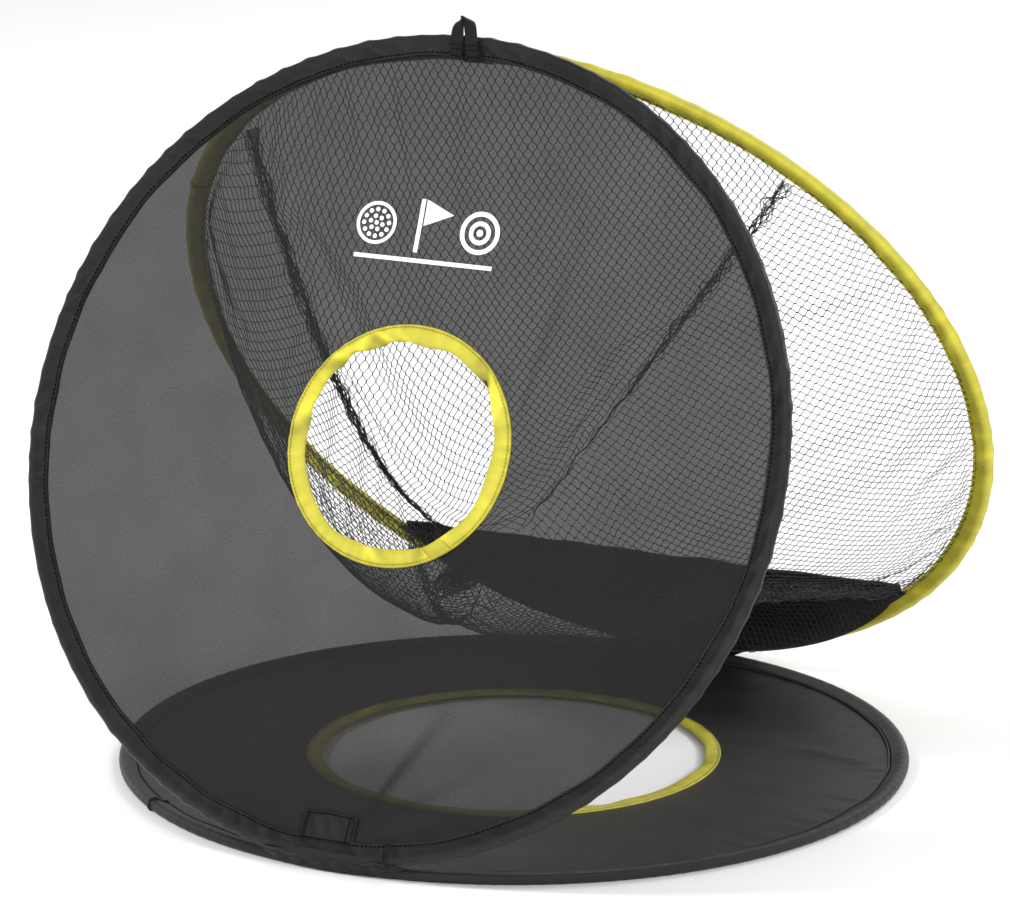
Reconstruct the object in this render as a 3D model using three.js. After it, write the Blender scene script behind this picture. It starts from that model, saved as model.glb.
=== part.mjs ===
// A pop-up chipping net for golf practice: three spring-wire hoops in fabric sleeves, joined edge to
// edge into a tent. The hoop on the ground and the leaning front hoop hold cloth with a round target
// hole. The rear hoop is the largest, and carries a net bag that hangs into the tent.
//
// Millimetres, +Z up, origin on the ground under the middle of the tent, the front faces -Y.
// Each hoop is built in its own flat frame: +Y runs up the hoop from its hinge, +Z is its normal.

import * as THREE from 'three';

// Hoops and their leans, measured from the ground.
const groundRadius = 303;
const frontRadius = 305;
const rearRadius = 334;
const frontLean = THREE.MathUtils.degToRad(67.8);
const rearLean = THREE.MathUtils.degToRad(56.3);
const hoopSegments = 48;

// Sleeve: a folded band of cloth, round over the wire and sewn to the panel at its inner edge.
const beadRadius = 4.5;
const sleeveWidth = 16;
const sleeveEdgeHalf = 1.7;
const pocketRadius = 3.6;
const slotHalf = 0.7;
const wireRadius = 1.4;
const ferruleInner = 1.7;
const ferruleOuter = 2.5;
const ferruleLength = 18;

// Cloth panels, their holes and the binding around each hole.
const clothThickness = 0.8;
const clothTuck = 9;
const groundHoleRadius = 147;
const frontHoleRadius = 76.5;
const groundTrimWidth = 12;
const frontTrimWidth = 13;
const trimHalf = 1.6;
const trimTuck = 2.5;

// Hinges: each leaning hoop turns about a line just outside and above the ground hoop's sleeve.
const hingeGap = 0.9;
const tapeGap = 0.35;
const tapeThickness = 0.5;
const tapeHalfAngle = THREE.MathUtils.degToRad(15);

// The net bag, in the rear hoop's frame.
const netDepth = 202;
const netGatherSide = 14;
const netGatherRise = 4;
const netMouthRadius = 315.5;
const netMouthLift = 3;
const netGatherRadius = 17;
const netThickness = 1.6;
// How far the net hangs below a straight line to its gathered end, by degrees round the mouth.
const netSags = [[0, 14], [45, 2], [90, 26], [135, 84], [180, 92], [227, 64], [270, 56], [313, 12], [360, 14]];
const upperSeam = THREE.MathUtils.degToRad(45);
const lowerSeam = THREE.MathUtils.degToRad(-47);
const seamClearance = 3.4;
const seamCordRadius = 1.7;

const black = { color: 0x17181a, roughness: 0.75, metalness: 0 };
const finishes = {
  wire: new THREE.MeshStandardMaterial({ color: 0x8d9094, roughness: 0.35, metalness: 1 }),
  blackBinding: new THREE.MeshStandardMaterial({ ...black, roughness: 0.5 }),
  groundCloth: new THREE.MeshStandardMaterial({ ...black, color: 0x202123, roughness: 0.55 }),
  sheerCloth: new THREE.MeshStandardMaterial({ ...black, transparent: true, opacity: 0.7 }),
  yellowBinding: new THREE.MeshStandardMaterial({ color: 0xe6dc14, roughness: 0.55, metalness: 0 }),
  netCord: new THREE.MeshStandardMaterial({ ...black, roughness: 0.9 }),
  webbing: new THREE.MeshStandardMaterial({ ...black, color: 0x101112 }),
};

const model = new THREE.Group();
const polar = (radius, angle, z = 0) =>
  new THREE.Vector3(radius * Math.cos(angle), radius * Math.sin(angle), z);

function addMesh(parent, name, geometry, finish) {
  const mesh = new THREE.Mesh(geometry, finishes[finish]);
  mesh.name = name;
  parent.add(mesh);
  return mesh;
}

// A ring about +Z from a closed section, given as [radius, height] pairs.
function ringGeometry(section, segments = hoopSegments) {
  const points = [...section, section[0]].map(([radius, height]) => new THREE.Vector2(radius, height));
  return new THREE.LatheGeometry(points, segments).rotateX(Math.PI / 2);
}

// An arc of a hoop in the XY plane, as a path to sweep a section along.
class HoopArc extends THREE.Curve {
  constructor(radius, start, end) {
    super();
    this.radius = radius;
    this.start = start;
    this.end = end;
  }

  getPoint(t) {
    return polar(this.radius, THREE.MathUtils.lerp(this.start, this.end, t));
  }
}

// A swept section has its first axis along -Z and its second towards the hoop's centre.
function sweepGeometry(outline, path, steps) {
  return new THREE.ExtrudeGeometry(new THREE.Shape(outline), { steps, extrudePath: path });
}

// A flat strip of constant thickness that follows a line in the YZ plane, as wide as given in X.
function stripGeometry(line, thickness, width) {
  const sides = [1, -1].map((side) => line.map((point, i) => {
    const ahead = line[Math.min(i + 1, line.length - 1)];
    const behind = line[Math.max(i - 1, 0)];
    const along = ahead.clone().sub(behind).normalize();
    return new THREE.Vector2(-along.y, along.x).multiplyScalar(side * thickness / 2).add(point);
  }));
  const outline = new THREE.Shape([...sides[0], ...sides[1].reverse()]);
  const strip = new THREE.ExtrudeGeometry(outline, { depth: width, bevelEnabled: false });
  strip.translate(0, 0, -width / 2);
  // The outline's x and y become the strip's Y and Z, and its depth becomes X.
  strip.applyMatrix4(new THREE.Matrix4().makeBasis(
    new THREE.Vector3(0, 1, 0), new THREE.Vector3(0, 0, 1), new THREE.Vector3(1, 0, 0)));
  return strip;
}

// Bends a unit box onto a surface: its x and y run over the surface and its z through the thickness.
function shellGeometry(surface, thickness, across, along) {
  const shell = new THREE.BoxGeometry(1, 1, 1, across, along, 1);
  const position = shell.attributes.position;
  const step = 1e-3;
  for (let i = 0; i < position.count; i += 1) {
    const s = position.getX(i) + 0.5;
    const t = position.getY(i) + 0.5;
    const alongS = surface(s + step, t).sub(surface(s - step, t));
    const alongT = surface(s, t + step).sub(surface(s, t - step));
    const normal = alongS.cross(alongT).normalize();
    const point = surface(s, t).addScaledVector(normal, position.getZ(i) * thickness);
    position.setXYZ(i, point.x, point.y, point.z);
  }
  return shell;
}

// The sleeve's section opens towards the hoop's centre, with flat facets above and below the wire.
function sleeveSection(radius) {
  const beadCentre = radius - beadRadius;
  const inner = radius - sleeveWidth;
  const onBead = (degrees, reach) => {
    const angle = THREE.MathUtils.degToRad(degrees);
    return [beadCentre + reach * Math.cos(angle), reach * Math.sin(angle)];
  };
  const flatReach = beadRadius / Math.cos(THREE.MathUtils.degToRad(15));
  const slotEnd = beadCentre - Math.sqrt(pocketRadius ** 2 - slotHalf ** 2);
  return [
    [inner, -sleeveEdgeHalf],
    ...[-105, -75, -25, 25, 75, 105].map((degrees) => onBead(degrees, flatReach)),
    [inner, sleeveEdgeHalf],
    [inner, slotHalf],
    [slotEnd, slotHalf],
    ...[120, 60, 0, -60, -120].map((degrees) => onBead(degrees, pocketRadius)),
    [slotEnd, -slotHalf],
    [inner, -slotHalf],
  ];
}

// A crimped tube over the wire's two ends, on one straight side of the faceted hoop.
function ferruleGeometry(radius) {
  const half = ferruleLength / 2;
  const section = [
    [ferruleInner, -half],
    [ferruleOuter, -half],
    [ferruleOuter, half],
    [ferruleInner, half],
  ];
  const sideAngle = Math.PI / hoopSegments;
  const wireMiddle = (radius - beadRadius) * Math.cos(sideAngle);
  return ringGeometry(section, 10)
    .rotateX(Math.PI / 2)
    .translate(wireMiddle, 0, 0)
    .rotateZ(-Math.PI / 4 + sideAngle);
}

function addHoop(parent, name, radius, sleeveFinish) {
  const wire = new THREE.TorusGeometry(radius - beadRadius, wireRadius, 6, hoopSegments);
  addMesh(parent, `${name}_hoop`, wire, 'wire');
  addMesh(parent, `${name}_hoop_ferrule`, ferruleGeometry(radius), 'wire');
  addMesh(parent, `${name}_sleeve`, ringGeometry(sleeveSection(radius)), sleeveFinish);
}

// A flat cloth ring, sewn into the sleeve outside and bound with a folded trim around its hole.
function addTargetCloth(parent, name, radius, holeRadius, trimWidth, clothFinish) {
  const half = clothThickness / 2;
  const outer = radius - clothTuck;
  const inner = holeRadius + trimTuck;
  const cloth = [[inner, -half], [outer, -half], [outer, half], [inner, half]];
  addMesh(parent, `${name}_cloth`, ringGeometry(cloth), clothFinish);

  const trimOuter = holeRadius + trimWidth;
  const fold = inner - 0.7;
  const trim = [
    [holeRadius, -trimHalf],
    [trimOuter, -trimHalf],
    [trimOuter, -slotHalf],
    [fold, -slotHalf],
    [fold, slotHalf],
    [trimOuter, slotHalf],
    [trimOuter, trimHalf],
    [holeRadius, trimHalf],
  ];
  addMesh(parent, `${name}_hole_trim`, ringGeometry(trim), 'yellowBinding');
}

// Where a leaning hoop turns: the hinge line, as [Y, Z] on the +Y side, and the wire's place at rest.
// The offsets keep the two sleeves apart all the way from the lean to lying flat outside.
function hingeLayout(lean) {
  const reach = beadRadius + hingeGap;
  const rise = reach * (1 - Math.sin(lean / 2)) / Math.cos(lean / 2);
  const axis = new THREE.Vector2(groundRadius - beadRadius + reach, beadRadius + rise);
  const arm = new THREE.Vector2(reach, -rise).rotateAround(new THREE.Vector2(), Math.PI - lean);
  return { axis, wire: axis.clone().add(arm) };
}

// A group whose frame is the leaning hoop's: side is -1 in front and 1 at the rear.
function addLeaningGroup(side, radius, lean) {
  const { wire } = hingeLayout(lean);
  const toCentre = radius - beadRadius;
  const group = new THREE.Group();
  group.position.set(0, side * (wire.x - toCentre * Math.cos(lean)), wire.y + toCentre * Math.sin(lean));
  group.rotation.x = side < 0 ? lean : Math.PI - lean;
  model.add(group);
  return group;
}

// A tape folded round the outside of the ground sleeve, on which the leaning hoop's sleeve is sewn.
function hingeTapeGeometry(side) {
  const inside = beadRadius / Math.cos(THREE.MathUtils.degToRad(15)) + tapeGap;
  const outside = inside + tapeThickness;
  const angles = [-30, 0, 30, 60, 95].map((degrees) => THREE.MathUtils.degToRad(degrees));
  // The first axis points down and the second towards the centre, so both are turned round.
  const around = (reach) => (angle) =>
    new THREE.Vector2(-reach * Math.sin(angle), -reach * Math.cos(angle));
  const outline = [...angles.map(around(outside)), ...angles.map(around(inside)).reverse()];
  const middle = side * Math.PI / 2;
  const path = new HoopArc(groundRadius - beadRadius, middle - tapeHalfAngle, middle + tapeHalfAngle);
  return sweepGeometry(outline, path, 4);
}

// The ground target, flat on its sleeve.
const ground = new THREE.Group();
ground.position.z = beadRadius;
model.add(ground);
addHoop(ground, 'ground', groundRadius, 'blackBinding');
addTargetCloth(ground, 'ground', groundRadius, groundHoleRadius, groundTrimWidth, 'groundCloth');
addMesh(ground, 'front_hinge_tape', hingeTapeGeometry(-1), 'webbing');
addMesh(ground, 'rear_hinge_tape', hingeTapeGeometry(1), 'webbing');

// The front target, sheer cloth with the small hole.
const front = addLeaningGroup(-1, frontRadius, frontLean);
addHoop(front, 'front', frontRadius, 'blackBinding');
addTargetCloth(front, 'front', frontRadius, frontHoleRadius, frontTrimWidth, 'sheerCloth');

// A square of doubled cloth sewn low on the front panel.
const patchWidth = 38;
const patchHeight = 20;
const patchThickness = 0.8;
const patchY = -277;
const patch = new THREE.BoxGeometry(patchWidth, patchHeight, patchThickness);
patch.translate(0, patchY, clothThickness / 2 + 0.3 + patchThickness / 2);
addMesh(front, 'front_patch', patch, 'sheerCloth');

// The hang loop: a doubled strap sewn over the sleeve at the top, and its free end above it.
const strapWidth = 9.5;
const strapGap = 3.6;
const strapThickness = 1.8;
const strapZ = 6.2;
const loopHeight = 13;
const loopHinge = frontRadius + 1;
const loopWidth = 2 * strapWidth + strapGap;

const loopEnds = new THREE.Shape([
  new THREE.Vector2(-loopWidth / 2, frontRadius - sleeveWidth),
  new THREE.Vector2(loopWidth / 2, frontRadius - sleeveWidth),
  new THREE.Vector2(loopWidth / 2, loopHinge - 1.1),
  new THREE.Vector2(-loopWidth / 2, loopHinge - 1.1),
]);
const strapSolid = { depth: strapThickness, bevelEnabled: false, curveSegments: 8 };
const sewnEnds = new THREE.ExtrudeGeometry(loopEnds, strapSolid);
sewnEnds.translate(0, 0, strapZ - strapThickness / 2);
addMesh(front, 'hang_loop_sewn_end', sewnEnds, 'webbing');

const arch = new THREE.Shape();
arch.moveTo(-loopWidth / 2, 0);
arch.lineTo(-strapGap / 2, 0);
arch.lineTo(-strapGap / 2, loopHeight - strapWidth + 4);
arch.lineTo(strapGap / 2, loopHeight - strapWidth + 4);
arch.lineTo(strapGap / 2, 0);
arch.lineTo(loopWidth / 2, 0);
arch.quadraticCurveTo(loopWidth / 2, loopHeight, 0, loopHeight);
arch.quadraticCurveTo(-loopWidth / 2, loopHeight, -loopWidth / 2, 0);
const loop = new THREE.ExtrudeGeometry(arch, strapSolid);
loop.translate(0, loopHinge, strapZ - strapThickness / 2);
addMesh(front, 'hang_loop', loop, 'webbing');

// The rear target: yellow sleeve, a cloth panel across the bottom and the net bag.
const rear = addLeaningGroup(1, rearRadius, rearLean);
addHoop(rear, 'rear', rearRadius, 'yellowBinding');

// The panel fills the hoop below a straight hem between the two lower net seams.
const hemY = netMouthRadius * Math.sin(lowerSeam);
const hemHalfLength = netMouthRadius * Math.cos(lowerSeam) - 16;
const hemHeight = 11;
const panelRadius = rearRadius - clothTuck;
const panelEnd = Math.asin((hemY - 3) / panelRadius);
const panelShape = new THREE.Shape();
panelShape.absarc(0, 0, panelRadius, Math.PI - panelEnd, 2 * Math.PI + panelEnd);
panelShape.closePath();
const panel = new THREE.ExtrudeGeometry(
  panelShape, { depth: clothThickness, bevelEnabled: false, curveSegments: 24 });
panel.translate(0, 0, -clothThickness / 2);
addMesh(rear, 'rear_lower_cloth', panel, 'groundCloth');

// A hem folded over the panel's straight edge, in the YZ plane and swept across it.
const hemOutline = [
  [0, -trimHalf], [0, trimHalf], [-hemHeight, trimHalf], [-hemHeight, slotHalf],
  [-2.2, slotHalf], [-2.2, -slotHalf], [-hemHeight, -slotHalf], [-hemHeight, -trimHalf],
].map(([y, z]) => new THREE.Vector2(hemY + y, z));
const hem = new THREE.ExtrudeGeometry(
  new THREE.Shape(hemOutline), { depth: 2 * hemHalfLength, bevelEnabled: false });
hem.translate(0, 0, -hemHalfLength);
hem.applyMatrix4(new THREE.Matrix4().makeBasis(
  new THREE.Vector3(0, 1, 0), new THREE.Vector3(0, 0, 1), new THREE.Vector3(1, 0, 0)));
addMesh(rear, 'rear_lower_hem', hem, 'groundCloth');

// The net bag is four gores between four seams, from the mouth to a gathered end.
const gather = new THREE.Vector3(netGatherSide, netGatherRise, netDepth);
const down = new THREE.Vector3(0, -Math.sin(rearLean), Math.cos(rearLean));

function netSag(angle) {
  const degrees = THREE.MathUtils.euclideanModulo(THREE.MathUtils.radToDeg(angle), 360);
  const next = netSags.findIndex(([limit]) => degrees < limit);
  const [[from, low], [to, high]] = [netSags[next - 1], netSags[next]];
  return THREE.MathUtils.lerp(low, high, THREE.MathUtils.smoothstep(degrees, from, to));
}

function netPoint(mouth, angle, t) {
  const end = polar(netGatherRadius, angle).add(gather);
  return mouth.clone().lerp(end, t).addScaledVector(down, netSag(angle) * 4 * t * (1 - t));
}

const netMouth = (angle) => polar(netMouthRadius, angle, netMouthLift);
const seamPoint = (angle, t) => netPoint(netMouth(angle), angle, t);

function addGore(name, start, end, straightMouth) {
  const surface = (s, t) => {
    const width = seamPoint(start, t).distanceTo(seamPoint(end, t));
    const margin = seamClearance / width;
    const across = THREE.MathUtils.lerp(margin, 1 - margin, s);
    const angle = THREE.MathUtils.lerp(start, end, across);
    const mouth = straightMouth
      ? netMouth(start).lerp(netMouth(end), across)
      : netMouth(angle);
    return netPoint(mouth, angle, t);
  };
  addMesh(rear, name, shellGeometry(surface, netThickness, 10, 8), 'netCord');
}

addGore('net_top_gore', upperSeam, Math.PI - upperSeam, false);
addGore('net_left_gore', Math.PI - upperSeam, Math.PI - lowerSeam, false);
addGore('net_bottom_gore', Math.PI - lowerSeam, 2 * Math.PI + lowerSeam, true);
addGore('net_right_gore', lowerSeam, upperSeam, false);

class SeamLine extends THREE.Curve {
  constructor(angle) {
    super();
    this.angle = angle;
  }

  getPoint(t) {
    return seamPoint(this.angle, THREE.MathUtils.lerp(0.012, 1, t));
  }
}

const cordSection = Array.from({ length: 6 }, (_, i) => {
  const corner = polar(seamCordRadius, i * Math.PI / 3);
  return new THREE.Vector2(corner.x, corner.y);
});
const seams = {
  upper_right: upperSeam,
  upper_left: Math.PI - upperSeam,
  lower_left: Math.PI - lowerSeam,
  lower_right: lowerSeam,
};
for (const [name, angle] of Object.entries(seams)) {
  addMesh(rear, `seam_cord_${name}`, sweepGeometry(cordSection, new SeamLine(angle), 12), 'netCord');
}

// The net's gathered end, pulled through a tie and hanging out of it.
const tailProfile = [[0, 0], [12, 0], [7, 9], [7, 15], [14, 32], [15, 48], [8, 66], [0, 68]]
  .map(([radius, height]) => new THREE.Vector2(radius, height));
const tail = new THREE.LatheGeometry(tailProfile, 12).rotateX(Math.PI / 2);
tail.rotateX(-0.2).rotateY(-0.45).translate(gather.x, gather.y, gather.z + 1);
addMesh(rear, 'net_tail', tail, 'netCord');
const tie = new THREE.TorusGeometry(9.9, 2, 6, 18).translate(0, 0, 12);
tie.rotateX(-0.2).rotateY(-0.45).translate(gather.x, gather.y, gather.z + 1);
addMesh(rear, 'net_tail_tie', tie, 'webbing');

// Two hook-and-loop tabs hang into the top corner and hold the leaning hoops together.
const topZ = rear.position.z + (rearRadius - beadRadius) * Math.sin(rearLean);
const tabY = front.position.y + (frontRadius - beadRadius) * Math.cos(frontLean) + 5.2;
const tabWidth = 26;
const tabThickness = 1.2;
const tabGap = 0.4;
for (const [name, side] of [['front_tie_tab', -1], ['rear_tie_tab', 1]]) {
  const face = tabY + side * (tabGap + tabThickness) / 2;
  const line = [[side * 4.4, -17.5], [0, -20], [0, -38]]
    .map(([y, z]) => new THREE.Vector2(face + y, topZ + z));
  addMesh(model, name, stripGeometry(line, tabThickness, tabWidth), 'webbing');
}

export default model;
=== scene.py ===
import math
import bmesh
import bpy
import numpy as np
from mathutils import Matrix, Vector


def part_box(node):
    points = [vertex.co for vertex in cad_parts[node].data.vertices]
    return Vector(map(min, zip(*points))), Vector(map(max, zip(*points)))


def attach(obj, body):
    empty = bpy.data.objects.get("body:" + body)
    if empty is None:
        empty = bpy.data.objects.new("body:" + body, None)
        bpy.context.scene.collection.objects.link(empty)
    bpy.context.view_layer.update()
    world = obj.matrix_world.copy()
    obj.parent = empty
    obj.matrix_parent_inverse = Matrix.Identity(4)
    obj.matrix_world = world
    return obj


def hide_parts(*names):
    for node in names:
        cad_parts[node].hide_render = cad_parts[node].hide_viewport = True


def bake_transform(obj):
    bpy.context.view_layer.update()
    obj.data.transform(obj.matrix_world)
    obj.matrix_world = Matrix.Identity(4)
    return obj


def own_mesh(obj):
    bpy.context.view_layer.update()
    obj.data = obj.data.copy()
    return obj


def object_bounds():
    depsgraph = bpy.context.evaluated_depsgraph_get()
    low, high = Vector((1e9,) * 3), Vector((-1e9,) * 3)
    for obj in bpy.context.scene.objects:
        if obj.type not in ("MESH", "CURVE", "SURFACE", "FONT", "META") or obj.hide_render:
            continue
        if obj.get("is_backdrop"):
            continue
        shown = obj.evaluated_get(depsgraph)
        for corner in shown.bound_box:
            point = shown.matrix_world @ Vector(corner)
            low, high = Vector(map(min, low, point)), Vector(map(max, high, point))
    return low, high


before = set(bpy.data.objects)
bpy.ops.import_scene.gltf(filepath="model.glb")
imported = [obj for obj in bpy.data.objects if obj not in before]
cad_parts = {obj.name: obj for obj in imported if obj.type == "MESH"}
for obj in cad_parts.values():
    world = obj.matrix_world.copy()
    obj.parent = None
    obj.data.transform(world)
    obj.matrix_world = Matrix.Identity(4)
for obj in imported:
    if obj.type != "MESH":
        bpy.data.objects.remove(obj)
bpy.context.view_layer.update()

mm = 0.001
draw = np.random.default_rng(7)     # every random draw comes from here, in order

# camera, floor and lights
studio = dict(azimuth=26.09, elevation=14.76, distance=4.1097, target=(0.00958, -0.03534, 0.24616),
              lens=194.94, floorSize=14.0, worldStrength=0.62)


def makeStudio():
    scene = bpy.context.scene
    scene.view_settings.view_transform = "Standard"
    a, e = math.radians(studio["azimuth"]), math.radians(studio["elevation"])
    target = Vector(studio["target"])
    away = Vector((math.sin(a) * math.cos(e), -math.cos(a) * math.cos(e), math.sin(e)))
    lens = bpy.data.cameras.new("studioCamera")
    lens.lens, lens.sensor_width, lens.clip_end = studio["lens"], 36, 60
    camera = bpy.data.objects.new("studioCamera", lens)
    camera.location = target + away * studio["distance"]
    camera.rotation_euler = (-away).to_track_quat("-Z", "Y").to_euler()
    scene.collection.objects.link(camera)
    scene.camera = camera

    world = bpy.data.worlds.new("studioWorld")
    scene.world = world
    world.use_nodes = True
    backdrop = world.node_tree.nodes["Background"]
    backdrop.inputs["Color"].default_value = (1, 1, 1, 1)
    backdrop.inputs["Strength"].default_value = studio["worldStrength"]

    # position, size, watts; each soft box looks at the middle of the object
    for name, where, size, power in (("keyBox", (-2.6, -2.2, 2.9), 0.9, 118),
                                     ("sideBox", (3.2, -1.2, 1.8), 0.8, 62),
                                     ("backBox", (0.8, 3.4, 2.6), 1.6, 84),
                                     ("lowBox", (2.4, -3.4, 0.55), 1.1, 52)):
        light = bpy.data.lights.new(name, "AREA")
        light.shape, light.size, light.energy = "DISK", size, power
        lamp = bpy.data.objects.new(name, light)
        lamp.location = where
        lamp.rotation_euler = (Vector((0, 0, 0.25)) - Vector(where)).to_track_quat("-Z", "Y").to_euler()
        scene.collection.objects.link(lamp)


# materials
# a socket of a shading tree that can be added, multiplied and so on
class Field:
    def __init__(self, finish, socket):
        self.finish, self.socket = finish, socket

    def join(self, operation, first, second=0.0):
        return self.finish.field("ShaderNodeMath", {"operation": operation}, {0: first, 1: second})

    def __add__(self, other):
        return self.join("ADD", self, other)

    def __sub__(self, other):
        return self.join("SUBTRACT", self, other)

    def __rsub__(self, other):
        return self.join("SUBTRACT", other, self)

    def __mul__(self, other):
        return self.join("MULTIPLY", self, other)

    __radd__, __rmul__ = __add__, __mul__

    def sine(self):
        return self.join("SINE", self)

    def size(self):
        return self.join("ABSOLUTE", self)


class Finish:
    def __init__(self, name, roughness=0.5, specular=0.5):
        self.material = bpy.data.materials.new(name)
        self.material.use_nodes = True
        self.tree = self.material.node_tree
        self.shader = self.tree.nodes["Principled BSDF"]
        self.shader.inputs["Roughness"].default_value = roughness
        self.shader.inputs["Specular IOR Level"].default_value = specular
        self.place = None

    def node(self, kind, settings=None, values=None):
        made = self.tree.nodes.new(kind)
        for key, value in (settings or {}).items():
            if key == "stops":
                ramp = made.color_ramp
                while len(ramp.elements) < len(value):
                    ramp.elements.new(0.5)
                for element, (position, shade) in zip(ramp.elements, value):
                    element.position, element.color = position, shade
            else:
                setattr(made, key, value)
        for key, value in (values or {}).items():
            if isinstance(value, Field):
                self.tree.links.new(value.socket, made.inputs[key])
            else:
                made.inputs[key].default_value = value
        return made

    def field(self, kind, settings=None, values=None, output=0):
        return Field(self, self.node(kind, settings, values).outputs[output])

    # the pattern follows the piece's own map, in metres
    def useSurface(self):
        self.place = self.field("ShaderNodeUVMap", {"uv_map": "weave"})

    def useSpace(self):
        self.place = self.field("ShaderNodeTexCoord", output=3)

    def axes(self):
        split = self.node("ShaderNodeSeparateXYZ", None, {0: self.place})
        return [Field(self, split.outputs[i]) for i in range(3)]

    def noise(self, scale, detail=2.0, stretch=(1, 1, 1)):
        moved = self.field("ShaderNodeMapping", None, {"Vector": self.place, "Scale": stretch})
        return self.field("ShaderNodeTexNoise", None, {"Vector": moved, "Scale": scale, "Detail": detail})

    # the piece's ridge attribute, read by the colours as painted fold shading
    def foldShading(self):
        return self.field("ShaderNodeAttribute", {"attribute_name": "ridge"}, output=2)

    def weave(self, pitch):
        u, v, _ = self.axes()
        return (u * (math.pi / pitch)).sine().size() * 0.5 + (v * (math.pi / pitch)).sine().size() * 0.5

    def shades(self, mask, dark, light):
        return self.field("ShaderNodeMix", {"data_type": "RGBA"}, {0: mask, 6: (*dark, 1), 7: (*light, 1)}, 2)

    def ramp(self, mask, low, high):
        return self.field("ShaderNodeMapRange", None, {0: mask, 1: low, 2: high, 3: 0.0, 4: 1.0})

    def paint(self, colour=None, roughness=None, alpha=None, height=None, distance=0.0003, strength=1.0):
        links = {"Base Color": colour, "Roughness": roughness, "Alpha": alpha}
        if height is not None:
            links["Normal"] = self.field("ShaderNodeBump", None,
                                         {"Height": height, "Distance": distance, "Strength": strength})
        for socket, value in links.items():
            if value is not None:
                self.tree.links.new(value.socket, self.shader.inputs[socket])
        return self.material


# closely woven cloth: threads, slubs, soft crinkles, worn patches, and painted highlight and shade on its folds
def makeCloth(name, dark, light, pitch, roughness, specular, crinkle):
    cloth = Finish(name, roughness, specular)
    cloth.useSurface()
    threads = cloth.weave(pitch)
    slubs = cloth.noise(900, 2, (1, 0.12, 1)) + cloth.noise(900, 2, (0.12, 1, 1))
    patches = cloth.noise(22, 3)
    crinkles = cloth.noise(95, 4)
    # the ridge term paints highlight on fold tops and shade in fold valleys
    shade = cloth.ramp(patches * 0.55 + threads * 0.35 + slubs * 0.25 + cloth.foldShading() * 0.25, 0.35, 1.05)
    return cloth.paint(cloth.shades(shade, dark, light),
                       cloth.ramp(patches, 0.1, 0.9) * 0.16 + (roughness - 0.08),
                       height=threads * 0.35 + slubs * 0.12 + crinkles * crinkle, distance=0.0009)


# see-through cloth: open pores between the threads, thicker slubs
def makeSheer():
    cloth = Finish("sheerCloth", 0.62, 0.08)
    cloth.useSurface()
    threads = cloth.weave(0.0011)
    slubs = cloth.noise(2600, 1, (1, 0.2, 1)) + cloth.noise(2600, 1, (0.2, 1, 1))
    patches = cloth.noise(16, 3)
    cover = cloth.ramp(threads * 0.3 + slubs * 0.5 + patches * 0.25, 0.5, 1.0)
    doubled = cloth.field("ShaderNodeAttribute", {"attribute_name": "doubled"}, output=2)
    return cloth.paint(cloth.shades(cover, (0.008, 0.008, 0.0085), (0.016, 0.016, 0.0165)),
                       alpha=cover * 0.09 + doubled * 0.06 + 0.862,
                       height=threads * 0.4 + slubs * 0.3, distance=0.0004)


def makeYellow():
    cloth = Finish("yellowBinding", 0.4, 0.5)
    cloth.useSurface()
    threads = cloth.weave(0.0008)
    patches = cloth.noise(30, 3)
    # the crease noise raises the creases and also paints shade in their valleys and highlight on their tops
    creases = cloth.noise(120, 4, (1, 0.35, 1))
    # the ridge term paints highlight on fold tops and shade in fold valleys
    shade = cloth.ramp(patches * 0.5 + creases * 0.35 + threads * 0.15 + cloth.foldShading() * 0.34, 0.15, 0.9)
    return cloth.paint(cloth.shades(shade, (0.20, 0.17, 0.004), (0.67, 0.61, 0.030)),
                       cloth.ramp(patches, 0.2, 0.8) * 0.15 + 0.32,
                       height=threads * 0.25 + creases * 0.7, distance=0.0008)


def makeTwine(name, dark, light, gloss=0.3):
    twine = Finish(name, 0.6, gloss)
    twine.useSpace()
    fibres = twine.noise(2600, 2)
    return twine.paint(twine.shades(fibres, dark, light), height=fibres, distance=0.0002)


def makeWebbing():
    band = Finish("blackWebbing", 0.5, 0.16)
    band.useSurface()
    u, v, _ = band.axes()
    turns = math.pi / 0.0013
    ribs = ((u + v * 0.6) * turns).sine().size() * ((u - v * 0.6) * turns).sine().size()
    shade = band.ramp(ribs * 0.7 + band.noise(700, 2) * 0.4, 0.1, 0.9)
    return band.paint(band.shades(shade, (0.003, 0.003, 0.0033), (0.018, 0.018, 0.019)), height=ribs,
                      distance=0.0006)


def makeSteel(name, tint):
    steel = Finish(name, 0.3)
    steel.shader.inputs["Metallic"].default_value = 1.0
    steel.useSpace()
    drawn = steel.noise(500, 3, (1, 1, 0.2))
    return steel.paint(steel.shades(drawn, [c * 0.75 for c in tint], tint),
                       drawn * 0.25 + 0.22, height=drawn, distance=0.0001)


def makePrint():
    ink = Finish("whitePrint", 0.55, 0.3)
    ink.useSurface()
    threads = ink.weave(0.0011)
    wear = ink.noise(320, 3)
    worn = ink.ramp(wear + threads * 0.3, 0.2, 0.7)
    return ink.paint(ink.shades(worn, (0.74, 0.74, 0.73), (0.93, 0.93, 0.92)),
                     height=threads * 0.6 + wear * 0.3, distance=0.0003)


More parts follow.
